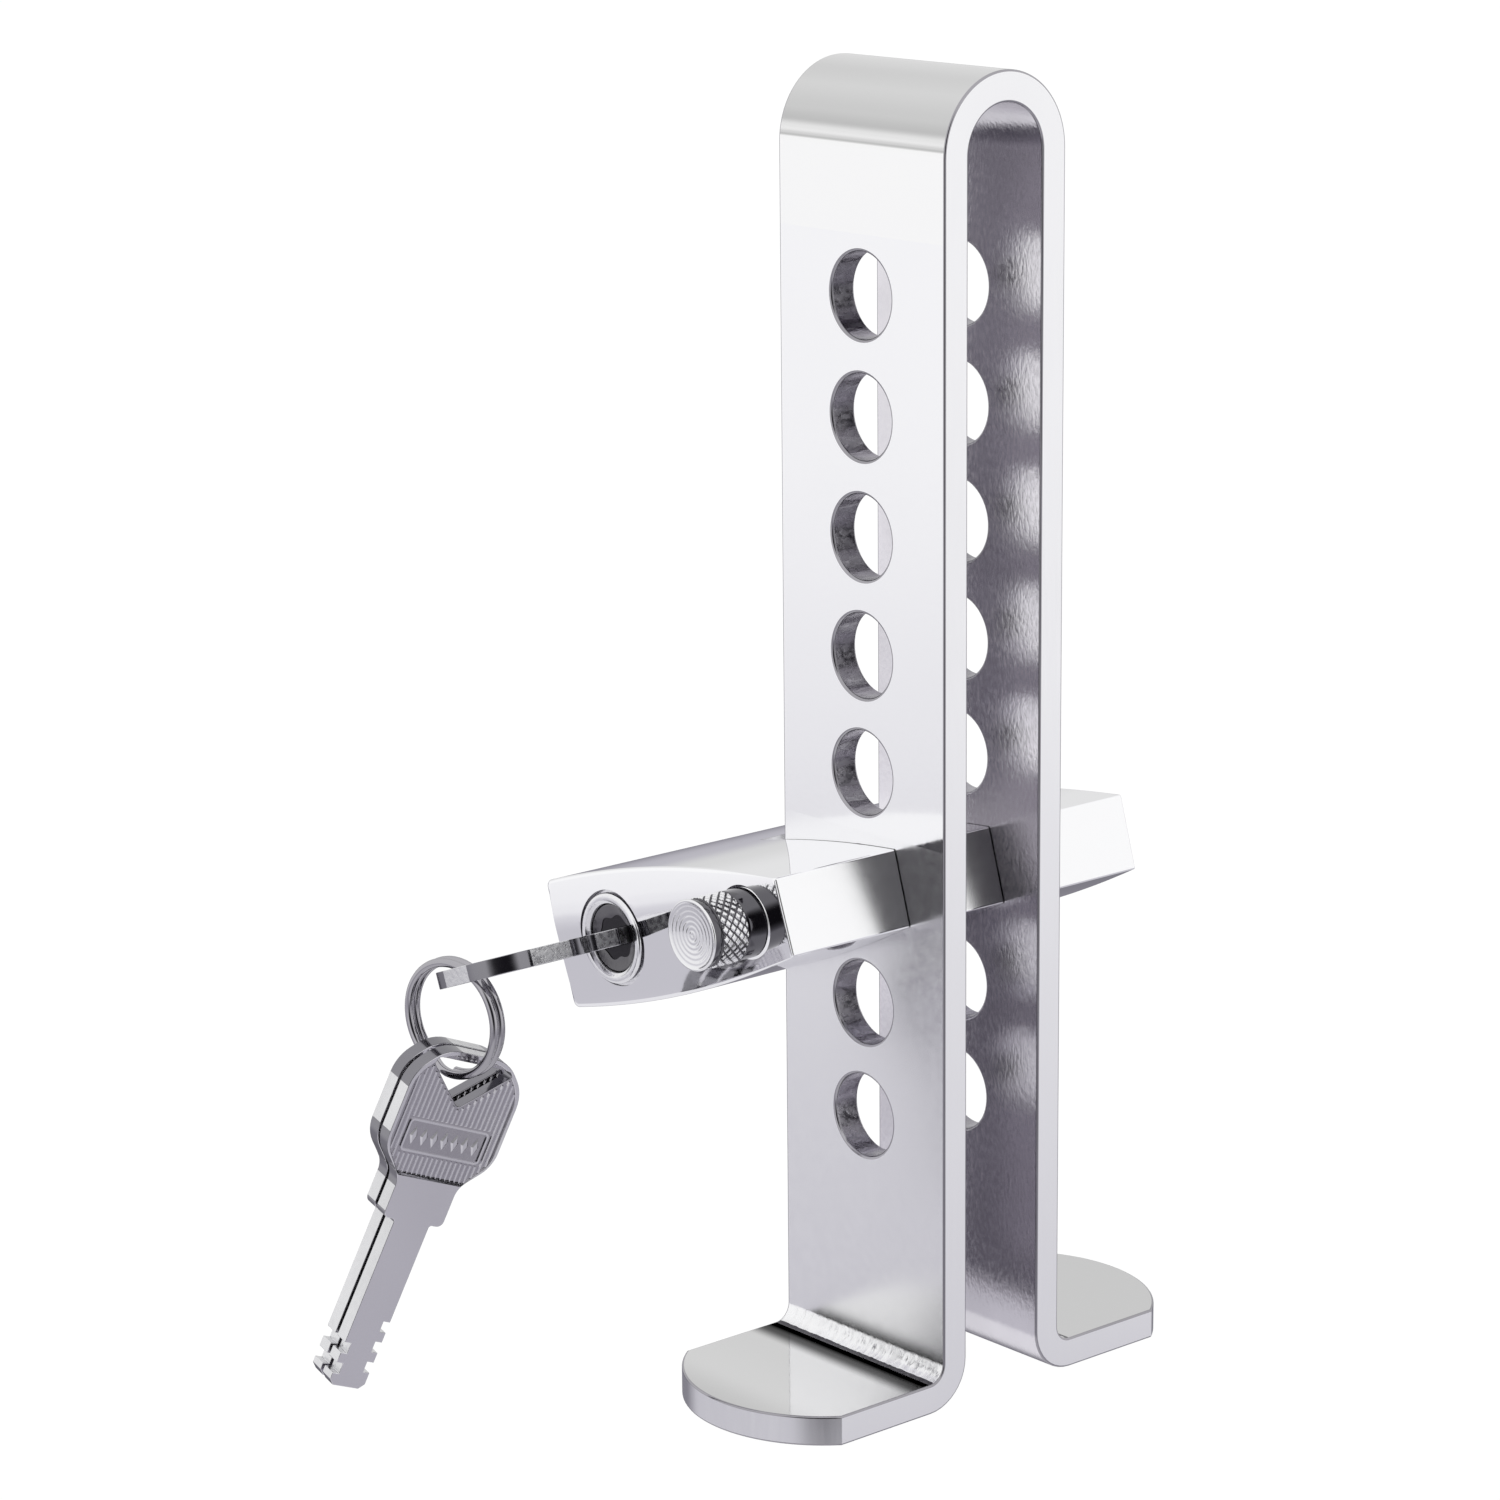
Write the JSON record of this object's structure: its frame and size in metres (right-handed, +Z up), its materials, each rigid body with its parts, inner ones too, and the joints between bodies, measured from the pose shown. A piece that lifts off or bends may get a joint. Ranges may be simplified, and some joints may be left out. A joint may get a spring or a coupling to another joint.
{
  "type": "vehicle pedal lock",
  "caption": "Tall folded steel strip with outward feet and a row of cross holes, clasped by a three-pronged lock body on a knurled pin, with cylinder, keys and split ring.",
  "frame": {"origin": "centre of the bracket at the underside of its feet", "axes": "+X across the strip, towards the open ends of the prongs; -Y towards the key and knob; +Z up"},
  "size_m": [0.0743, 0.1389, 0.2244],
  "materials": {
    "bracket_steel": "polished strip, brushed between the legs",
    "lock_chrome": "mirror polished",
    "cylinder_metal": "bright turned",
    "plug_metal": "dark turned",
    "hard_steel": "ground",
    "knob_steel": "diamond knurled, turned end",
    "key_nickel": "satin nickel with sandy edges",
    "ring_steel": "bright drawn wire",
    "wafer_brass": "stamped",
    "seal_rubber": "black rubber"
  },
  "bodies": {
    "bracket": {"bracket": "bracket_steel"},
    "lock": {"lock_body": "lock_chrome", "cylinder_shell": "cylinder_metal", "cylinder_pin": "hard_steel", "latch_bore_plug": "lock_chrome", "pin_seal": "seal_rubber"},
    "plug": {"cylinder_plug": "plug_metal", "plug_clip": "hard_steel", "drive_crank": "hard_steel", "crank_screw": "hard_steel", "wafer_springs": "hard_steel"},
    "left_wafers": {"left_wafers": "wafer_brass"},
    "right_wafers": {"right_wafers": "wafer_brass"},
    "latch": {"latch_bolt": "hard_steel"},
    "pin": {"lock_pin": "hard_steel", "pin_knob": "knob_steel"},
    "key_1": {"key_1": "key_nickel"},
    "ring": {"split_ring": "ring_steel"},
    "key_2": {"key_2": "key_nickel"},
    "key_3": {"key_3": "key_nickel"}
  },
  "joints": [
    {"name": "lock_swing", "type": "hinge", "parent": "bracket", "child": "lock", "pos_m": [0, 0, 0.0867], "axis": [0, 1, 0], "range_deg": [0, 32.8]},
    {"name": "pin_pull", "type": "slide", "parent": "lock", "child": "pin", "axis": [0, -1, 0], "range_m": [0, 0.04]},
    {"name": "key_turn", "type": "hinge", "parent": "lock", "child": "plug", "pos_m": [-0.03473, 0, 0.07648], "axis": [0, -1, 0], "range_deg": [-90, 0]},
    {"name": "latch_slide", "type": "slide", "parent": "lock", "child": "latch", "axis": [0.9593, 0, 0.2823], "range_m": [0, 0.00425]},
    {"name": "left_wafers_slide", "type": "slide", "parent": "plug", "child": "left_wafers", "axis": [-0.9342, 0, -0.3567], "range_m": [0, 0.00075]},
    {"name": "right_wafers_slide", "type": "slide", "parent": "plug", "child": "right_wafers", "axis": [0.9342, 0, 0.3567], "range_m": [0, 0.00075]},
    {"name": "key_insert", "type": "slide", "parent": "plug", "child": "key_1", "axis": [0, -1, 0], "range_m": [0, 0.03]},
    {"name": "ring_swing", "type": "hinge", "parent": "key_1", "child": "ring", "pos_m": [-0.03966, -0.0697, 0.07723], "axis": [0.9848, 0.1736, 0], "range_deg": [-8, 8]},
    {"name": "key_2_swing", "type": "hinge", "parent": "ring", "child": "key_2", "pos_m": [-0.03966, -0.0697, 0.05783], "axis": [0.9763, -0.16, -0.1456], "range_deg": [-12, 12]},
    {"name": "key_3_swing", "type": "hinge", "parent": "ring", "child": "key_3", "pos_m": [-0.03966, -0.0697, 0.05783], "axis": [0.9763, -0.16, -0.1456], "range_deg": [-12, 12]}
  ],
  "couplings": [
    {"joint": "latch_slide", "follows": "key_turn", "m_per_rad": -0.0027009},
    {"joint": "left_wafers_slide", "follows": "key_insert", "ratio": 0.025},
    {"joint": "right_wafers_slide", "follows": "key_insert", "ratio": 0.025}
  ]
}
